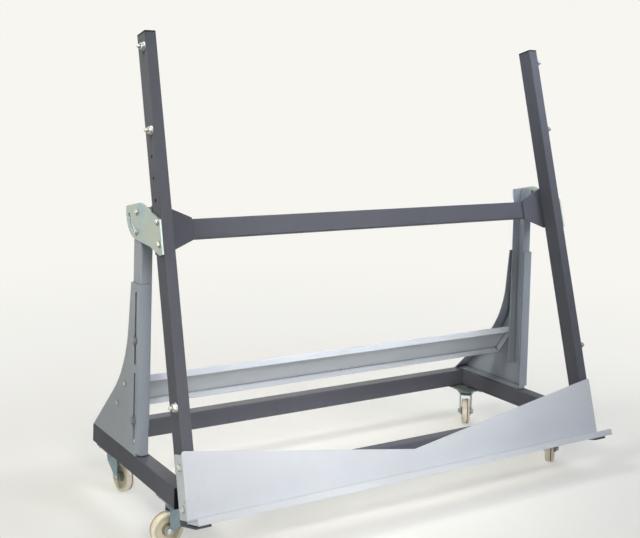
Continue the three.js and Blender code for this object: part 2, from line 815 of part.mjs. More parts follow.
// Fork leg: upright along the front, its rear edge runs down to the boss round the axle
const legInner = hubWidth / 2 + 2 * fit;
const legOuter = legInner + forkSheet;
const toBoss = new THREE.Vector2(casterTrail - forkWaistX, wheelRadius - forkWaistZ);
const bossStart = toBoss.angle() - Math.asin(forkBossRadius / toBoss.length()) - Math.PI / 2;
const bossEnd = Math.acos((forkFrontX - casterTrail) / forkBossRadius);
const bossSweep = THREE.MathUtils.euclideanModulo(bossEnd - bossStart, 2 * Math.PI);
const legShape = new THREE.Shape();
legShape.moveTo(forkRearX, crownTopZ);
legShape.lineTo(forkRearX, crownTopZ - forkShoulder);
legShape.lineTo(forkWaistX, forkWaistZ);
for (let i = 0; i <= bossSteps; i++) {
  const angle = bossStart + (bossSweep * i) / bossSteps;
  legShape.lineTo(
    casterTrail + forkBossRadius * Math.cos(angle),
    wheelRadius + forkBossRadius * Math.sin(angle),
  );
}
legShape.lineTo(forkFrontX, crownTopZ);
const legs = [
  prismY(legShape, legInner, legOuter),
  prismY(legShape, -legOuter, -legInner),
];
const pinBore = roundZ(kingPinRadius + boltClear, crownBottomZ - over, cupTopZ + over, smallSides);
const axleBore = new THREE.CylinderGeometry(
  axleRadius + boltClear,
  axleRadius + boltClear,
  2 * (legOuter + over),
  smallSides,
).translate(casterTrail, 0, wheelRadius);
const crownHalf = legOuter - flush;
const crown = box(forkRearX, forkFrontX, -crownHalf, crownHalf, crownBottomZ, crownTopZ - flush);
const cup = roundZ(raceRadius, crownTopZ - 2 * flush, cupTopZ, roundSides, raceRadius - cupTaper);
const fork = cut(join(cup, crown, ...legs), pinBore, axleBore);

const tread = wheelWidth / 2;
const rimInner = wheelRadius - rimDepth;
const half = [
  [axleRadius + boltClear, hubWidth / 2],
  [hubRadius, hubWidth / 2],
  [hubRadius + webSlope, webWidth / 2],
  [rimInner - webSlope, webWidth / 2],
  [rimInner, tread - rimLip],
  [wheelRadius - treadRound, tread],
  [wheelRadius, tread - treadRound],
];
const wheelProfile = [...half.map(([r, z]) => [r, -z]), ...half.slice().reverse()];
wheelProfile.push(wheelProfile[0]);
const wheel = new THREE.LatheGeometry(
  wheelProfile.map(([r, z]) => new THREE.Vector2(r, z)),
  wheelSides,
);

const axleHeadY = legOuter + fit;
const axleHalf = axleHeadY + axleHeadHeight + axleEnd;
const axleHeadRadius = axleHeadAcross / Math.sqrt(3);
const axleHead = (side) =>
  new THREE.CylinderGeometry(axleHeadRadius, axleHeadRadius, axleHeadHeight, 6).translate(
    0,
    side * (axleHeadY + axleHeadHeight / 2),
    0,
  );
const axle = join(
  new THREE.CylinderGeometry(axleRadius, axleRadius, 2 * axleHalf, smallSides),
  axleHead(1),
  axleHead(-1),
);

for (const [name, swivelDeg] of Object.entries(casterSwivelDeg)) {
  const caster = new THREE.Group();
  const x = name.endsWith("right") ? casterX : -casterX;
  const y = name.startsWith("front") ? casterFrontY : casterRearY;
  caster.position.set(x, y, 0);
  assembly.add(caster);
  add(caster, "caster_plate_" + name, casterPlate, zinc());
  const swivel = new THREE.Group();
  swivel.rotation.z = THREE.MathUtils.degToRad(swivelDeg);
  caster.add(swivel);
  add(swivel, "caster_fork_" + name, fork, zinc());
  const wheelMesh = add(swivel, "caster_wheel_" + name, wheel, nylon());
  wheelMesh.position.set(casterTrail, 0, wheelRadius);
  const axleMesh = add(swivel, "caster_axle_" + name, axle, zinc());
  axleMesh.position.set(casterTrail, 0, wheelRadius);
}

// The origin is on the floor, in the plane of symmetry and halfway from front to back
cart.updateMatrixWorld(true);
const bounds = new THREE.Box3().setFromObject(assembly, true);
assembly.position.set(0, -(bounds.min.y + bounds.max.y) / 2, -bounds.min.z);
cart.updateMatrixWorld(true);

export default cart;
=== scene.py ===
"""Sheet goods cart: paint, zinc plate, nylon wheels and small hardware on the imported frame, in metres."""

import json
import math

import bmesh
import bpy
from mathutils import Matrix, Vector


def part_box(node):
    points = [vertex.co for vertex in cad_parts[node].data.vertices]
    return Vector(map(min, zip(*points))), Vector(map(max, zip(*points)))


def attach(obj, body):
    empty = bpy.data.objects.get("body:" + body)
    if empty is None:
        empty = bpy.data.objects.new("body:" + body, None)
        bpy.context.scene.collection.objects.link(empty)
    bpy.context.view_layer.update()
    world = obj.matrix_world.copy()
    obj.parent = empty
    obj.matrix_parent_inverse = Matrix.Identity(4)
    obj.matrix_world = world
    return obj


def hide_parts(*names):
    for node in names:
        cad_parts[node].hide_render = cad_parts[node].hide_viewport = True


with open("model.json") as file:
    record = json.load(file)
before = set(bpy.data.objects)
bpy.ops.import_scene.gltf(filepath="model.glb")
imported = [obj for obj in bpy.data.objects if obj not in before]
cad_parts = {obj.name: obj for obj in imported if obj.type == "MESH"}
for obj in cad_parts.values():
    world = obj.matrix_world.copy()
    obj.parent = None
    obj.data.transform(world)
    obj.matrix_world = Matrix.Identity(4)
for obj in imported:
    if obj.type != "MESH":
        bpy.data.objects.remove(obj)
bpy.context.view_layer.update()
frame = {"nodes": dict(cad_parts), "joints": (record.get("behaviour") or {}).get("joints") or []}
NODES = frame["nodes"]
JOINTS = {joint["name"]: joint for joint in frame["joints"]}
CORNERS = ("front_left", "front_right", "rear_left", "rear_right")
SIDES = {"left": -1, "right": 1}
MM = 0.001

# Camera, fitted to the photograph's straight edges
IMAGE_WIDTH = 640
IMAGE_HEIGHT = 538
FOCAL_PX = 1060.56
CENTRE_PX = (317.93, 135.4)
CAMERA_PLACE = (-1.68657, -2.40244, 1.11655)
CAMERA_YAW = 32.37
CAMERA_PITCH = -2.99
CAMERA_ROLL = 1.57
SENSOR_WIDTH = 36.0

# Frame that tilts: s runs up the arm, q to the rear, both from the pivot
LEAN = math.radians(15.2)
PIVOT = Vector(JOINTS["frame_tilt"]["pos_m"])
ARM_BOLT_Q = -120 * MM
ARM_BOLT_S = (393 * MM, 182 * MM, -475 * MM)
GUSSET_S = (-116 * MM, 3 * MM)
GUSSET_TIP_S = (-81 * MM, -35 * MM)
GUSSET_FRONT_Q = -81.7 * MM
BAR_FRONT_Q = -76.4 * MM
GUSSET_TIP_X = 550 * MM
ARM_INNER_X = 624 * MM

# Rear beam: bolts through the panels into its end tabs
BEAM_SLOPE = math.radians(37)
BEAM_BOLT_DOWN = (13 * MM, 88 * MM)
BEAM_BOLT_FORWARD = 9 * MM


# Materials

EDGE_SAMPLES = 4
EDGE_DOT = (0.995, 0.9)  # rounded against true normal: on an open face, on a sharp edge
CREVICE_SAMPLES = 6
CREVICE_OPEN = (0.82, 0.42)  # open share of the surroundings where the painted shade begins and where it is full
NOISE_BAND = (0.3, 0.7)  # where most values of a noise lie
FINE_BUMP = 0.3 * MM

PAINT_DRIFT = (0.95, 1.05)
RUB_BAND = (0.66, 0.76)
CHIP_BAND = (0.35, 0.75)
RIM_WIDTH = 1.2 * MM

CLOUD_BAND = (0.36, 0.64)
SPOT_BAND = (0.60, 0.72)
SPOT_SHARE = 0.35
SPOT_SHADE = 0.6

STAIN_BAND = (0.42, 0.72)


def new_material(name):
    material = bpy.data.materials.new(name)
    material.use_nodes = True
    tree = material.node_tree
    return material, tree, tree.nodes["Principled BSDF"]


def position(tree, stretch=(1, 1, 1)):
    """The surface's own coordinates in metres, so that a pattern moves with its piece."""
    coordinates = tree.nodes.new("ShaderNodeTexCoord")
    mapping = tree.nodes.new("ShaderNodeMapping")
    mapping.inputs["Scale"].default_value = stretch
    tree.links.new(coordinates.outputs["Object"], mapping.inputs["Vector"])
    return mapping.outputs["Vector"]


def noise(tree, scale, detail=3.0, rough=0.55, stretch=(1, 1, 1)):
    node = tree.nodes.new("ShaderNodeTexNoise")
    node.inputs["Scale"].default_value = scale
    node.inputs["Detail"].default_value = detail
    node.inputs["Roughness"].default_value = rough
    tree.links.new(position(tree, stretch), node.inputs["Vector"])
    return node.outputs["Fac"]


def remap(tree, value, low, high, to_low=0.0, to_high=1.0):
    node = tree.nodes.new("ShaderNodeMapRange")
    node.inputs["From Min"].default_value = low
    node.inputs["From Max"].default_value = high
    node.inputs["To Min"].default_value = to_low
    node.inputs["To Max"].default_value = to_high
    tree.links.new(value, node.inputs["Value"])
    return node.outputs["Result"]


def mix(tree, factor, first, second):
    """Blend of two colours; each is a tuple or a socket."""
    node = tree.nodes.new("ShaderNodeMix")
    node.data_type = "RGBA"
    tree.links.new(factor, node.inputs["Factor"])
    for socket, value in (("A", first), ("B", second)):
        target = [i for i in node.inputs if i.name == socket and i.type == "RGBA"][0]
        if isinstance(value, tuple):
            target.default_value = (*value, 1.0)
        else:
            tree.links.new(value, target)
    return [o for o in node.outputs if o.type == "RGBA"][0]


def bump(tree, shader, height, strength, distance):
    node = tree.nodes.new("ShaderNodeBump")
    node.inputs["Strength"].default_value = strength
    node.inputs["Distance"].default_value = distance
    tree.links.new(height, node.inputs["Height"])
    tree.links.new(node.outputs["Normal"], shader.inputs["Normal"])


def edge_mask(tree, radius):
    """1 along sharp edges, 0 on open faces."""
    bevel = tree.nodes.new("ShaderNodeBevel")
    bevel.samples = EDGE_SAMPLES
    bevel.inputs["Radius"].default_value = radius
    geometry = tree.nodes.new("ShaderNodeNewGeometry")
    dot = tree.nodes.new("ShaderNodeVectorMath")
    dot.operation = "DOT_PRODUCT"
    tree.links.new(bevel.outputs["Normal"], dot.inputs[0])
    tree.links.new(geometry.outputs["Normal"], dot.inputs[1])
    return remap(tree, dot.outputs["Value"], *EDGE_DOT)


def corner_shade_mask(tree, reach):
    """1 deep in corners and slots, 0 on open faces: where the shade is painted."""
    node = tree.nodes.new("ShaderNodeAmbientOcclusion")
    node.samples = CREVICE_SAMPLES
    node.inputs["Distance"].default_value = reach
    return remap(tree, node.outputs["AO"], *CREVICE_OPEN)


def multiply(tree, first, second):
    node = tree.nodes.new("ShaderNodeMath")
    node.operation = "MULTIPLY"
    for index, value in enumerate((first, second)):
        if isinstance(value, float):
            node.inputs[index].default_value = value
        else:
            tree.links.new(value, node.inputs[index])
    return node.outputs["Value"]


def shade(colour, factor):
    return tuple(min(1.0, c * factor) for c in colour)


def with_painted_shade(tree, base, colour, reach, share, darkness):
    """The base with painted shade: a darker colour in corners and slots."""
    mask = multiply(tree, corner_shade_mask(tree, reach), share)
    return mix(tree, mask, base, shade(colour, darkness))


def varied_gloss(tree, shader, roughness, scale, detail, below, above):
    """Roughness that wanders around its mean."""
    gloss = remap(tree, noise(tree, scale, detail), *NOISE_BAND, roughness - below, roughness + above)
    tree.links.new(gloss, shader.inputs["Roughness"])


def painted(name, colour, roughness, sheen, worn, rubbed, chipped):
    """Powder coat: slow drift of tone, orange peel, a few rubs, paler edges and painted shade in the
    corners.
    """
    material, tree, shader = new_material(name)
    drift = remap(tree, noise(tree, scale=5.0, detail=4.0), *NOISE_BAND)
    base = mix(tree, drift, *(shade(colour, factor) for factor in PAINT_DRIFT))
    streaks = noise(tree, scale=34.0, detail=8.0, rough=0.7, stretch=(1, 1, 0.35))
    rubs = remap(tree, streaks, *RUB_BAND)
    base = mix(tree, multiply(tree, rubs, rubbed), base, worn)
    chips = remap(tree, noise(tree, scale=60.0, detail=4.0), *CHIP_BAND)
    rim = multiply(tree, edge_mask(tree, RIM_WIDTH), chips)
    base = mix(tree, multiply(tree, rim, chipped), base, worn)
    # Painted shade: darker in corners and slots, the more so the more closed in they are.
    base = with_painted_shade(tree, base, colour, reach=10 * MM, share=0.85, darkness=0.2)
    tree.links.new(base, shader.inputs["Base Color"])
    varied_gloss(tree, shader, roughness, scale=22.0, detail=5.0, below=0.05, above=0.06)
    shader.inputs["Specular IOR Level"].default_value = sheen
    bump(tree, shader, noise(tree, scale=1100.0, detail=2.0), strength=0.08, distance=FINE_BUMP)
    return material


def zinc_plated(name, colour, bluish, roughness, metal):
    """Zinc plate: cloudy passivation between two tones, a rolled grain and painted shade in its crevices.
    """
    material, tree, shader = new_material(name)
    cloud = remap(tree, noise(tree, scale=17.0, detail=5.0, rough=0.6), *CLOUD_BAND)
    base = mix(tree, cloud, colour, bluish)
    spots = remap(tree, noise(tree, scale=150.0, detail=4.0, rough=0.6), *SPOT_BAND)
    base = mix(tree, multiply(tree, spots, SPOT_SHARE), base, shade(colour, SPOT_SHADE))
    # Painted shade: darker in corners and slots, the more so the more closed in they are.
    base = with_painted_shade(tree, base, colour, reach=7 * MM, share=0.9, darkness=0.1)
    tree.links.new(base, shader.inputs["Base Color"])
    shader.inputs["Metallic"].default_value = metal
    varied_gloss(tree, shader, roughness, scale=90.0, detail=5.0, below=0.08, above=0.1)
    grain = noise(tree, scale=500.0, detail=3.0, rough=0.6, stretch=(1, 1, 0.15))
    bump(tree, shader, grain, strength=0.08, distance=FINE_BUMP)
    return material


def moulded(name, colour, stain, stain_share, roughness, sheen=0.5):
    """Moulded plastic with a faint texture, dirt settled in patches and painted shade in its corners."""
    material, tree, shader = new_material(name)
    patches = remap(tree, noise(tree, scale=45.0, detail=6.0, rough=0.65), *STAIN_BAND)
    base = mix(tree, multiply(tree, patches, stain_share), colour, stain)
    # Painted shade: darker in corners and slots, the more so the more closed in they are.
    base = with_painted_shade(tree, base, stain, reach=6 * MM, share=0.6, darkness=0.5)
    tree.links.new(base, shader.inputs["Base Color"])
    varied_gloss(tree, shader, roughness, scale=130.0, detail=4.0, below=0.05, above=0.1)
    shader.inputs["Specular IOR Level"].default_value = sheen
    bump(tree, shader, noise(tree, scale=900.0, detail=2.0), strength=0.12, distance=FINE_BUMP)
    return material


DARK = painted(
    "dark_paint",
    colour=(0.094, 0.097, 0.116),
    roughness=0.42,
    sheen=0.04,
    worn=(0.17, 0.17, 0.19),
    rubbed=0.25,
    chipped=0.10,
)
GREY = painted(
    "grey_paint",
    colour=(0.280, 0.310, 0.355),
    roughness=0.34,
    sheen=0.30,
    worn=(0.42, 0.44, 0.47),
    rubbed=0.20,
    chipped=0.15,
)
LIGHT = painted(
    "light_paint",
    colour=(0.49, 0.52, 0.56),
    roughness=0.32,
    sheen=0.40,
    worn=(0.64, 0.66, 0.69),
    rubbed=0.20,
    chipped=0.15,
)
# The light paint made a little lighter for the rear beam: painted light standing in for light bounced up
# from the floor.
BEAM_WITH_PAINTED_BOUNCE = painted(
    "beam_paint_painted_bounce",
    colour=(0.53, 0.57, 0.62),
    roughness=0.32,
    sheen=0.40,
    worn=(0.66, 0.68, 0.71),
    rubbed=0.20,
    chipped=0.15,
)
ZINC = zinc_plated(
    "zinc",
    colour=(0.50, 0.53, 0.45),
    bluish=(0.40, 0.50, 0.52),
    roughness=0.44,
    metal=0.75,
)
FORK = zinc_plated(
    "fork_zinc",
    colour=(0.34, 0.43, 0.48),
    bluish=(0.24, 0.35, 0.42),
    roughness=0.36,
    metal=0.45,
)
# A darker copy of the zinc for the caster plates: painted shade for their undersides, which sit under the
# rails.
PLATE_ZINC_PAINTED_SHADE = zinc_plated(
    "plate_zinc_painted_shade",
    colour=(0.24, 0.27, 0.25),
    bluish=(0.17, 0.21, 0.21),
    roughness=0.36,
    metal=0.40,
)
BOLT = zinc_plated(
    "bolt_zinc",
    colour=(0.62, 0.61, 0.55),
    bluish=(0.52, 0.54, 0.52),
    roughness=0.24,
    metal=0.45,
)
DULL_BOLT = zinc_plated(
    "dull_bolt_zinc",
    colour=(0.30, 0.31, 0.32),
    bluish=(0.22, 0.24, 0.26),
    roughness=0.30,
    metal=0.45,
)
PLUG = moulded(
    "black_plastic",
    colour=(0.008, 0.008, 0.009),
    stain=(0.02, 0.02, 0.02),
    stain_share=0.5,
    roughness=0.6,
    sheen=0.15,
)
NYLON = moulded(
    "nylon",
    colour=(0.70, 0.68, 0.56),
    stain=(0.44, 0.38, 0.26),
    stain_share=0.45,
    roughness=0.42,
)
# Olive and darker than the wheel's side: painted shade for the recessed web, with dirt patches on it.
WEB_PAINTED_SHADE = moulded(
    "nylon_web_painted_shade",
    colour=(0.55, 0.52, 0.40),
    stain=(0.28, 0.24, 0.15),
    stain_share=0.55,
    roughness=0.45,
)
SEAM = moulded(
    "nylon_seam",
    colour=(0.12, 0.07, 0.03),
    stain=(0.05, 0.03, 0.01),
    stain_share=0.6,
    roughness=0.5,
    sheen=0.2,
)
TREAD = moulded(
    "nylon_tread",
    colour=(0.86, 0.79, 0.66),
    stain=(0.62, 0.48, 0.31),
    stain_share=0.5,
    roughness=0.5,
)
HUB = moulded(
    "nylon_hub",
    colour=(0.20, 0.17, 0.11),
    stain=(0.06, 0.05, 0.04),
    stain_share=0.7,
    roughness=0.5,
)

LOOKS = {
    "rail_front_plug": PLUG,
    "rail_rear_plug": PLUG,
    "post_plug": PLUG,
    "arm_plug": PLUG,
    "rail": DARK,
    "rear_cross_tube": DARK,
    "front_cross_tube": DARK,
    "arm": DARK,
    "gusset": DARK,
    "cross_bar": DARK,
    "foot": DARK,
    "side_panel": GREY,
    "rear_beam": BEAM_WITH_PAINTED_BOUNCE,
    "post": GREY,
    "shelf_plate": LIGHT,
    "tilt_plate": ZINC,
    "caster_plate": PLATE_ZINC_PAINTED_SHADE,
    "caster_fork": FORK,
    "caster_wheel": NYLON,
    "lower_clamp_bolt": DULL_BOLT,
    "upper_clamp_bolt": DULL_BOLT,
    "caster_axle": BOLT,
}
EDGE_ROUND = 0.5 * MM
EDGE_SEGMENTS = 2
SMOOTH_ANGLE = math.radians(35)
WELD_DISTANCE = 0.005 * MM


def finish_edges(piece):
    """Small round on every sharp edge, with flat faces kept flat."""
    weld = piece.modifiers.new("join", "WELD")
    weld.merge_threshold = WELD_DISTANCE
    bevel = piece.modifiers.new("edges", "BEVEL")
    bevel.width = EDGE_ROUND
    bevel.segments = EDGE_SEGMENTS
    bevel.limit_method = "ANGLE"
    bevel.angle_limit = SMOOTH_ANGLE
    normals = piece.modifiers.new("normals", "WEIGHTED_NORMAL")
    normals.keep_sharp = True
    for polygon in piece.data.polygons:
        polygon.use_smooth = True


for node_name, node in NODES.items():
    matches = [key for key in LOOKS if node_name.startswith(key)]
    look = LOOKS[max(matches, key=len)] if matches else BOLT
    node.data.materials.clear()
    node.data.materials.append(look)
    finish_edges(node)


# Mesh makers

POLE_RADIUS = 1e-9  # a smaller ring is a single point
HEX_SIDES = 6
HEX_TURN = 1.6  # reach of the turned-off corners per depth of the chamfer
WASHER_SIDES = 32
WASHER_EDGE = 0.25  # of its thickness
THREAD_SIDES = 20
THREAD_DEPTH = 0.5  # of its pitch


def piece_from(mesh, name, materials, body):
    data = bpy.data.meshes.new(name)
    bmesh.ops.recalc_face_normals(mesh, faces=mesh.faces)
    mesh.to_mesh(data)
    mesh.free()
    for material in materials:
        data.materials.append(material)
    piece = bpy.data.objects.new(name, data)
    bpy.context.scene.collection.objects.link(piece)
    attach(piece, body)
    return piece


def ring_of(mesh, radius, height, count, place):
    """Vertices of a circle about local Z, put at a place matrix."""
    ring = []
    for i in range(count):
        angle = 2 * math.pi * i / count
        point = Vector((radius * math.cos(angle), radius * math.sin(angle), height))
        ring.append(mesh.verts.new(place @ point))
    return ring


def turned(mesh, profile, place, sides, pick=None):
    """Revolves (radius, height) points about local Z and puts the closed form at a place matrix."""
    rings = []
    for radius, height in profile:
        if radius < POLE_RADIUS:
            rings.append([mesh.verts.new(place @ Vector((0, 0, height)))])
        else:
            rings.append(ring_of(mesh, radius, height, sides, place))
    for index, (low, high) in enumerate(zip(rings, rings[1:])):
        for i in range(sides):
            j = (i + 1) % sides
            corners = [low[i % len(low)], low[j % len(low)], high[j % len(high)], high[i % len(high)]]
            face = mesh.faces.new(list(dict.fromkeys(corners)))
            face.smooth = True
            if pick:
                face.material_index = pick(index)


def place_along(point, axis):
    """Matrix that puts local Z along an axis at a point."""
    turn = Vector(axis).normalized().to_track_quat("Z", "Y").to_matrix().to_4x4()
    return Matrix.Translation(Vector(point)) @ turn


def hexagon(mesh, across, low, high, place, chamfer):
    """Six-sided head or nut with the corners turned off on its outer face."""
    radius = across / math.sqrt(3)
    levels = ((radius, low), (radius, high - chamfer), (radius - HEX_TURN * chamfer, high))
    rings = [ring_of(mesh, level_radius, height, HEX_SIDES, place) for level_radius, height in levels]
    mesh.faces.new(rings[0][::-1])
    for below, above in zip(rings, rings[1:]):
        for i in range(HEX_SIDES):
            j = (i + 1) % HEX_SIDES
            mesh.faces.new((below[i], below[j], above[j], above[i]))
    mesh.faces.new(rings[-1])


def washer(mesh, radius, thickness, place):
    edge = WASHER_EDGE * thickness
    profile = [
        (0, 0),
        (radius, 0),
        (radius, thickness - edge),
        (radius - edge, thickness),
        (0, thickness),
    ]
    turned(mesh, profile, place, WASHER_SIDES)


def on_washer(mesh, washer_size, hexagon_size, chamfer, place):
    """Washer with a head or nut on it; tells how high its top is."""
    radius, thickness = washer_size
    across, height = hexagon_size
    washer(mesh, radius, thickness, place)
    hexagon(mesh, across, thickness, thickness + height, place, chamfer)
    return thickness + height


def threaded_end(mesh, radius, low, high, pitch, place):
    """Stud end with thread grooves and a chamfered tip."""
    depth = THREAD_DEPTH * pitch
    profile = [(0, low), (radius, low)]
    height = low
    while height + pitch < high - pitch:
        profile.append((radius - depth, height + 0.5 * pitch))
        profile.append((radius, height + pitch))
        height += pitch
    profile.append((radius, high - pitch))
    profile.append((radius - pitch, high))
    profile.append((0, high))
    turned(mesh, profile, place, THREAD_SIDES)


# Lifting posts: folded channels, open to the inside

POST_SHEET = 2.5 * MM
POST_BEND = 4.5 * MM
BEND_STEPS = 6


def arc(centre, radius, start_deg, end_deg):
    """Points of a bend in plan."""
    points = []
    for i in range(BEND_STEPS + 1):
        angle = math.radians(start_deg + (end_deg - start_deg) * i / BEND_STEPS)
        points.append((centre[0] + radius * math.cos(angle), centre[1] + radius * math.sin(angle)))
    return points


def make_post(side, sign):
    low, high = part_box("post_" + side)
    inner_x = min(abs(low.x), abs(high.x))
    outer_x = max(abs(low.x), abs(high.x))
    bend_x = outer_x - POST_BEND
    front_bend = (bend_x, low.y + POST_BEND)
    rear_bend = (bend_x, high.y - POST_BEND)
    inner_bend = POST_BEND - POST_SHEET
    outline = [(inner_x, low.y)]
    outline += arc(front_bend, POST_BEND, -90, 0)
    outline += arc(rear_bend, POST_BEND, 0, 90)
    outline += [(inner_x, high.y), (inner_x, high.y - POST_SHEET)]
    outline += arc(rear_bend, inner_bend, 90, 0)
    outline += arc(front_bend, inner_bend, 0, -90)
    outline += [(inner_x, low.y + POST_SHEET)]
    mesh = bmesh.new()
    rings = [[mesh.verts.new((sign * x, y, z)) for x, y in outline] for z in (low.z, high.z)]
    mesh.faces.new(rings[0])
    mesh.faces.new(rings[1])
    count = len(outline)
    for i in range(count):
        j = (i + 1) % count
        mesh.faces.new((rings[0][i], rings[0][j], rings[1][j], rings[1][i]))
    post = piece_from(mesh, "post_channel_" + side, (GREY,), "lift_posts")
    finish_edges(post)
    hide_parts("post_" + side, "post_plug_" + side)


for side, sign in SIDES.items():
    make_post(side, sign)


# Wheels: turned nylon with a dark hub with dirt patches, a web in olive painted shade and a pale tread with
# one dark seam off its middle

WHEEL_RADIUS = 40 * MM
WHEEL_HALF = 12.5 * MM
HUB_HALF = 15.5 * MM
HUB_RADIUS = 12 * MM
HUB_CHAMFER = 1.0 * MM
WEB_HALF = 6.6 * MM
BORE_RADIUS = 4.3 * MM
WHEEL_SIDES = 96
SAME_POINT = 1e-7
WHEEL_PROFILE = (  # radius and distance from the wheel's middle, from the bore out to the tread
    (BORE_RADIUS, HUB_HALF),
    (HUB_RADIUS - HUB_CHAMFER, HUB_HALF),
    (HUB_RADIUS, HUB_HALF - HUB_CHAMFER),
    (HUB_RADIUS + 1.0 * MM, 8.0 * MM),
    (HUB_RADIUS + 3.0 * MM, WEB_HALF),
    (26.0 * MM, WEB_HALF),
    (30.0 * MM, 7.6 * MM),
    (31.5 * MM, 10.8 * MM),
    (33.0 * MM, 12.0 * MM),
    (35.0 * MM, WHEEL_HALF),
    (36.8 * MM, 12.2 * MM),
    (38.4 * MM, 11.2 * MM),
    (39.5 * MM, 9.6 * MM),
    (WHEEL_RADIUS, 7.4 * MM),
)
TREAD_SEAM = (  # a shallow groove
    (WHEEL_RADIUS, 3.0 * MM),
    (WHEEL_RADIUS - 0.7 * MM, 4.4 * MM),
    (WHEEL_RADIUS, 5.8 * MM),
)
SEAM_SIDE = {"front_left": -1, "front_right": 1, "rear_left": 1, "rear_right": 1}  # along the roll axis
HUB_END = 4  # steps of the profile, counted from the bore
WEB_END = 7
TREAD_START = 11
NYLONS = (NYLON, SEAM, TREAD, HUB, WEB_PAINTED_SHADE)


def make_wheel(corner):
    joint = JOINTS[corner + "_roll"]
    place = place_along(joint["pos_m"], joint["axis"])
    side = SEAM_SIDE[corner]
    count = len(WHEEL_PROFILE)
    profile = [(r, -side * h) for r, h in WHEEL_PROFILE]
    profile += [(r, side * h) for r, h in TREAD_SEAM]
    profile += [(r, side * h) for r, h in reversed(WHEEL_PROFILE)]
    profile += [(BORE_RADIUS, -side * HUB_HALF)]
    seam_steps = (count, count + 1)
    last = 2 * count + len(TREAD_SEAM) - 2

    def look_at(index):
        if index in seam_steps:
            return SEAM
        step = min(index, last - index)
        if step >= TREAD_START:
            return TREAD
        if step < HUB_END:
            return HUB
        return WEB_PAINTED_SHADE if step < WEB_END else NYLON

    mesh = bmesh.new()
    turned(mesh, profile, place, WHEEL_SIDES, lambda index: NYLONS.index(look_at(index)))
    bmesh.ops.remove_doubles(mesh, verts=mesh.verts, dist=SAME_POINT)
    wheel = piece_from(mesh, "wheel_" + corner, NYLONS, corner + "_wheel")
    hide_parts("caster_wheel_" + corner)


for wheel_corner in CORNERS:
    make_wheel(wheel_corner)


# Hardware on the tilting frame

def arm_point(x, q, s):
    """Point of the leaning frame at rest."""
    y = PIVOT.y + q * math.cos(LEAN) + s * math.sin(LEAN)
    z = PIVOT.z - q * math.sin(LEAN) + s * math.cos(LEAN)
    return Vector((x, y, z))


ARM_WASHER = (11.5 * MM, 2.2 * MM)
ARM_NUT = (17 * MM, 8.0 * MM)
ARM_CHAMFER = 1.0 * MM
ARM_STUD = (5 * MM, 8.0 * MM)
STUD_SUNK = 1 * MM  # how deep the stud's end starts inside its nut
M10_PITCH = 1.5 * MM
SEAT = 0.05 * MM

for side, sign in SIDES.items():
    face_x = sign * max(abs(corner.x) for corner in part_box("arm_" + side))
    # Painted shade: the right-hand bolts, lit from behind, get the darker zinc though they are the same
    # bolts as on the left.
    bolt_look_with_painted_shade = BOLT if side == "left" else DULL_BOLT
    for index, s in enumerate(ARM_BOLT_S):
        mesh = bmesh.new()
        place = place_along(arm_point(face_x + sign * SEAT, ARM_BOLT_Q, s), (sign, 0, 0))
        top = on_washer(mesh, ARM_WASHER, ARM_NUT, ARM_CHAMFER, place)
        threaded_end(mesh, ARM_STUD[0], top - STUD_SUNK, top + ARM_STUD[1], M10_PITCH, place)
        piece_from(mesh, f"arm_bolt_{side}_{index}", (bolt_look_with_painted_shade,), "tilt_frame")


# Bolts through the tilt plates

TILT_WASHER = (8.5 * MM, 1.6 * MM)
TILT_HEAD = (13 * MM, 5.3 * MM)
TILT_NUT = (13 * MM, 6.5 * MM)
TILT_CHAMFER = 0.9 * MM
TILT_SHANK = 4 * MM
SHANK_SUNK = 0.5 * MM  # how far the shank reaches into its washer
M8_PITCH = 1.25 * MM
TILT_BOLTS = {
    "pivot_bolt_": "lift_posts",
    "arc_bolt_": "lift_posts",
    "upper_plate_bolt_": "tilt_frame",
    "lower_plate_bolt_": "tilt_frame",
}


def make_tilt_bolt(node_name, side, sign, body):
    low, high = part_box(node_name)
    middle = (low + high) / 2
    plate_x = max(abs(corner.x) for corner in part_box("tilt_plate_" + side))
    wall_x = max(abs(corner.x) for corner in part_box("post_" + side)) - POST_SHEET
    end_x = min(abs(low.x), abs(high.x))
    place = place_along((sign * plate_x, middle.y, middle.z), (sign, 0, 0))
    mesh = bmesh.new()
    on_washer(mesh, TILT_WASHER, TILT_HEAD, TILT_CHAMFER, place)
    inside = place_along((sign * wall_x, middle.y, middle.z), (-sign, 0, 0))
    hexagon(mesh, TILT_NUT[0], SEAT, TILT_NUT[1], inside, TILT_CHAMFER)
    shank = place_along((sign * plate_x, middle.y, middle.z), (-sign, 0, 0))
    threaded_end(mesh, TILT_SHANK, -SHANK_SUNK, plate_x - end_x, M8_PITCH, shank)
    bolt = piece_from(mesh, node_name + "_m8", (BOLT,), body)
    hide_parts(node_name)


for side, sign in SIDES.items():
    for stem, body in TILT_BOLTS.items():
        make_tilt_bolt(stem + side, side, sign, body)


# Beam bolts on the panels' outer faces

BEAM_WASHER = (5.8 * MM, 1.0 * MM)
BEAM_HEAD = (10 * MM, 4.0 * MM)
BEAM_CHAMFER = 0.8 * MM
BEAM_FLANGE = 21 * MM
beam_low, beam_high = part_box("rear_beam")
BEAM_TOP = Vector((0, beam_low.y + BEAM_FLANGE * math.cos(BEAM_SLOPE), beam_high.z))

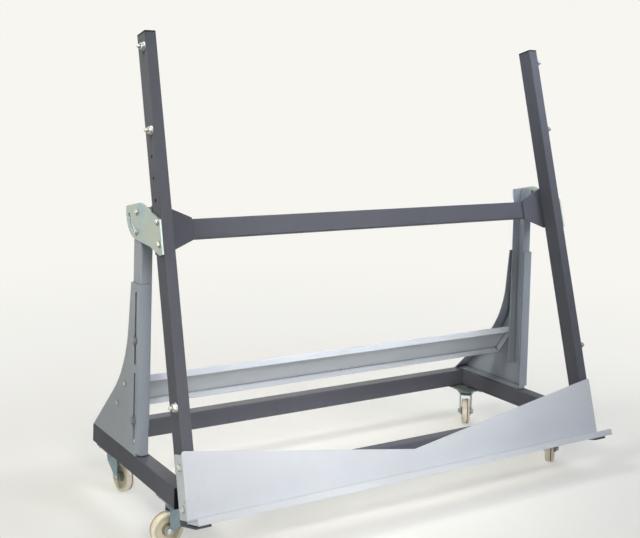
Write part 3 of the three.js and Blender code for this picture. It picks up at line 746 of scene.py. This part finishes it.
for side, sign in SIDES.items():
    face_x = sign * max(abs(corner.x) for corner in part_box("side_panel_" + side))
    mesh = bmesh.new()
    for down in BEAM_BOLT_DOWN:
        y = BEAM_TOP.y + down * math.sin(BEAM_SLOPE) - BEAM_BOLT_FORWARD * math.cos(BEAM_SLOPE)
        z = BEAM_TOP.z - down * math.cos(BEAM_SLOPE) - BEAM_BOLT_FORWARD * math.sin(BEAM_SLOPE)
        place = place_along((face_x + sign * SEAT, y, z), (sign, 0, 0))
        on_washer(mesh, BEAM_WASHER, BEAM_HEAD, BEAM_CHAMFER, place)
    piece_from(mesh, "beam_bolts_" + side, (BOLT,), "base")


# Caster plate screws: two on the outer side of each plate, heads down

SCREW_OFFSET = (31 * MM, 39 * MM)
SCREW_WASHER = (8.5 * MM, 1.6 * MM)
SCREW_HEAD = (13 * MM, 5.3 * MM)
SCREW_CHAMFER = 0.8 * MM
PLATE_THICKNESS = 4 * MM

for corner in CORNERS:
    low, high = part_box("caster_plate_" + corner)
    middle = (low + high) / 2
    outward = 1 if middle.x > 0 else -1
    mesh = bmesh.new()
    for dy in (-SCREW_OFFSET[1], SCREW_OFFSET[1]):
        point = (middle.x + outward * SCREW_OFFSET[0], middle.y + dy, high.z - PLATE_THICKNESS - SEAT)
        place = place_along(point, (0, 0, -1))
        on_washer(mesh, SCREW_WASHER, SCREW_HEAD, SCREW_CHAMFER, place)
    piece_from(mesh, "plate_screws_" + corner, (DULL_BOLT,), "base")


# Weld beads under the paint

BEAD_RADIUS = 2.2 * MM
BEAD_STEP = 0.9 * MM
BEAD_RIPPLE = 3.2 * MM
BEAD_SIDES = 10
BEAD_LEAST_STEPS = 4
BEAD_TAPER_STEPS = 3
BEAD_LOW = 0.86  # radius between two ripples, as a share
BEAD_WAVE = 0.14
BASE_WELD_INSET = 3 * MM
GUSSET_WELD_INSET = 4 * MM


def weld_bead(mesh, start, end):
    """Rippled round bead along a seam, closed at both ends."""
    start, end = Vector(start), Vector(end)
    run = end - start
    place = place_along(start, run)
    steps = max(BEAD_LEAST_STEPS, int(run.length / BEAD_STEP))
    profile = [(0, 0)]
    for i in range(1, steps):
        along = run.length * i / steps
        ripple = abs(math.sin(math.pi * along / BEAD_RIPPLE))
        taper = min(1.0, i / BEAD_TAPER_STEPS, (steps - i) / BEAD_TAPER_STEPS)
        profile.append((BEAD_RADIUS * taper * (BEAD_LOW + BEAD_WAVE * ripple), along))
    profile.append((0, run.length))
    turned(mesh, profile, place, BEAD_SIDES)


for side, sign in SIDES.items():
    mesh = bmesh.new()
    for tube in ("rear_cross_tube", "front_cross_tube"):
        low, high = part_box(tube)
        seam_x = high.x if sign > 0 else low.x
        inner_y = low.y if tube.startswith("rear") else high.y
        bottom = (seam_x, inner_y, low.z + BASE_WELD_INSET)
        weld_bead(mesh, bottom, (seam_x, inner_y, high.z - BASE_WELD_INSET))
    piece_from(mesh, "base_welds_" + side, (DARK,), "base")

    mesh = bmesh.new()
    inner_x = sign * ARM_INNER_X
    weld_bead(
        mesh,
        arm_point(inner_x, GUSSET_FRONT_Q, GUSSET_S[0] + GUSSET_WELD_INSET),
        arm_point(inner_x, GUSSET_FRONT_Q, GUSSET_S[1] - GUSSET_WELD_INSET),
    )
    tip_x = sign * GUSSET_TIP_X
    weld_bead(
        mesh,
        arm_point(tip_x, BAR_FRONT_Q, GUSSET_TIP_S[0]),
        arm_point(tip_x, BAR_FRONT_Q, GUSSET_TIP_S[1]),
    )
    piece_from(mesh, "frame_welds_" + side, (DARK,), "tilt_frame")


# Stage: a pale floor that fades into a pale background

FLOOR_HALF = 30.0
FLOOR_DROP = 0.1 * MM
FLOOR_COLOUR = (0.85, 0.85, 0.82)
FLOOR_DRIFT = (0.98, 1.02)
FLOOR_ROUGHNESS = 0.6
FLOOR_SEEN = (0.87, 0.865, 0.83)  # colour that the lens is shown on top of the lit floor
FLOOR_GLOW = 0.45  # its share close by, where the floor keeps the shadow
GLOW_REACH = (0.6, 1.9)  # metres from the middle over which that share rises to the whole
FADE = (1.3, 3.8)  # metres from the middle over which that colour turns into the background's
BACKGROUND_COLOUR = (0.930, 0.922, 0.880)
AMBIENT_COLOUR = (0.95, 0.97, 1.0)
AMBIENT_STRENGTH = 0.05
WIDE = 180
LAMPS = (  # name, place, target, size, watts, colour, spread in degrees
    ("rear_low", (1.0, 3.4, 1.1), (0, 0.2, 0.4), (4.0, 1.6), 42.0, (1.0, 0.91, 0.78), WIDE),
    ("left_high", (-1.8, -0.2, 2.3), (-0.66, 0, 1.05), (0.6, 0.6), 20.0, (1.0, 1.0, 0.88), WIDE),
    ("left_top", (-1.8, -0.2, 2.3), (-0.66, 0, 1.0), (0.6, 0.6), 1.5, (1.0, 0.98, 0.88), 36),
    ("left_low", (-2.4, -1.2, 0.7), (-0.66, -0.26, 0.2), (0.4, 0.4), 0.2, (1.0, 1.0, 0.97), 20),
    ("middle_high", (-0.1, -0.7, 2.3), (0.62, 0, 1.28), (0.5, 0.5), 1.45, (0.9, 0.95, 1.0), 35),
    ("top_right", (1.8, -1.2, 3.4), (0.4, 0, 0.8), (1.5, 1.5), 39.0, (0.70, 0.83, 1.0), WIDE),
    ("front_high", (1.3, -2.2, 2.7), (0.25, -0.05, 1.15), (1.0, 1.0), 5.8, (0.97, 0.96, 1.0), 44),
    ("shelf", (-0.9, -2.6, 1.6), (-0.22, -0.25, 0.15), (0.8, 0.8), 4.8, (1.0, 0.95, 0.91), 44),
)


def seen_directly(tree):
    """1 for rays from the camera, also by way of a mirror or glass."""
    path = tree.nodes.new("ShaderNodeLightPath")
    total = path.outputs["Is Camera Ray"]
    for name in ("Is Glossy Ray", "Is Transmission Ray"):
        node = tree.nodes.new("ShaderNodeMath")
        node.operation = "MAXIMUM"
        tree.links.new(total, node.inputs[0])
        tree.links.new(path.outputs[name], node.inputs[1])
        total = node.outputs["Value"]
    return total


def make_floor():
    mesh = bmesh.new()
    bmesh.ops.create_grid(mesh, x_segments=1, y_segments=1, size=FLOOR_HALF)
    data = bpy.data.meshes.new("floor")
    mesh.to_mesh(data)
    mesh.free()
    floor = bpy.data.objects.new("floor", data)
    floor.location.z = -FLOOR_DROP
    bpy.context.scene.collection.objects.link(floor)
    material, tree, shader = new_material("pale_floor")
    drift = remap(tree, noise(tree, scale=1.3, detail=4.0), *NOISE_BAND)
    base = mix(tree, drift, *(shade(FLOOR_COLOUR, factor) for factor in FLOOR_DRIFT))
    tree.links.new(base, shader.inputs["Base Color"])
    shader.inputs["Roughness"].default_value = FLOOR_ROUGHNESS
    away = tree.nodes.new("ShaderNodeVectorMath")
    away.operation = "LENGTH"
    tree.links.new(position(tree), away.inputs[0])
    share = remap(tree, away.outputs["Value"], *GLOW_REACH, FLOOR_GLOW, 1.0)
    fade = remap(tree, away.outputs["Value"], *FADE)
    for ramp in (share, fade):
        ramp.node.interpolation_type = "SMOOTHSTEP"
    glow = tree.nodes.new("ShaderNodeEmission")
    tree.links.new(mix(tree, fade, FLOOR_SEEN, BACKGROUND_COLOUR), glow.inputs["Color"])
    blend = tree.nodes.new("ShaderNodeMixShader")
    tree.links.new(multiply(tree, share, seen_directly(tree)), blend.inputs["Fac"])
    tree.links.new(shader.outputs["BSDF"], blend.inputs[1])
    tree.links.new(glow.outputs["Emission"], blend.inputs[2])
    tree.links.new(blend.outputs["Shader"], tree.nodes["Material Output"].inputs["Surface"])
    data.materials.append(material)


def make_world():
    world = bpy.data.worlds.new("soft_room")
    bpy.context.scene.world = world
    world.use_nodes = True
    tree = world.node_tree
    ambient = tree.nodes["Background"]
    ambient.inputs["Color"].default_value = (*AMBIENT_COLOUR, 1.0)
    ambient.inputs["Strength"].default_value = AMBIENT_STRENGTH
    seen = tree.nodes.new("ShaderNodeBackground")
    seen.inputs["Color"].default_value = (*BACKGROUND_COLOUR, 1.0)
    blend = tree.nodes.new("ShaderNodeMixShader")
    tree.links.new(seen_directly(tree), blend.inputs["Fac"])
    tree.links.new(ambient.outputs["Background"], blend.inputs[1])
    tree.links.new(seen.outputs["Background"], blend.inputs[2])
    tree.links.new(blend.outputs["Shader"], tree.nodes["World Output"].inputs["Surface"])


def area_light(name, place, target, size, power, colour, spread):
    light = bpy.data.lights.new(name, "AREA")
    light.shape = "RECTANGLE"
    light.size, light.size_y = size
    light.energy = power
    light.color = colour
    light.spread = math.radians(spread)
    lamp = bpy.data.objects.new(name, light)
    lamp.location = place
    lamp.rotation_euler = (Vector(target) - Vector(place)).to_track_quat("-Z", "Y").to_euler()
    lamp.visible_camera = False
    bpy.context.scene.collection.objects.link(lamp)


def make_camera():
    yaw, pitch, roll = (math.radians(a) for a in (CAMERA_YAW, CAMERA_PITCH, CAMERA_ROLL))
    forward = Vector((math.sin(yaw) * math.cos(pitch), math.cos(yaw) * math.cos(pitch), math.sin(pitch)))
    right = Vector((math.cos(yaw), -math.sin(yaw), 0))
    up = right.cross(forward)
    right_rolled = right * math.cos(roll) + up * math.sin(roll)
    up_rolled = up * math.cos(roll) - right * math.sin(roll)
    turn = Matrix((right_rolled, up_rolled, -forward)).transposed().to_4x4()
    data = bpy.data.cameras.new("camera")
    data.sensor_fit = "HORIZONTAL"
    data.sensor_width = SENSOR_WIDTH
    data.lens = FOCAL_PX / IMAGE_WIDTH * SENSOR_WIDTH
    data.shift_x = (IMAGE_WIDTH / 2 - CENTRE_PX[0]) / IMAGE_WIDTH
    data.shift_y = (CENTRE_PX[1] - IMAGE_HEIGHT / 2) / IMAGE_WIDTH
    camera = bpy.data.objects.new("camera", data)
    camera.matrix_world = Matrix.Translation(CAMERA_PLACE) @ turn
    bpy.context.scene.collection.objects.link(camera)
    bpy.context.scene.camera = camera


make_floor()
make_world()
for settings in LAMPS:
    area_light(*settings)
make_camera()
bpy.context.scene.view_settings.view_transform = "Standard"
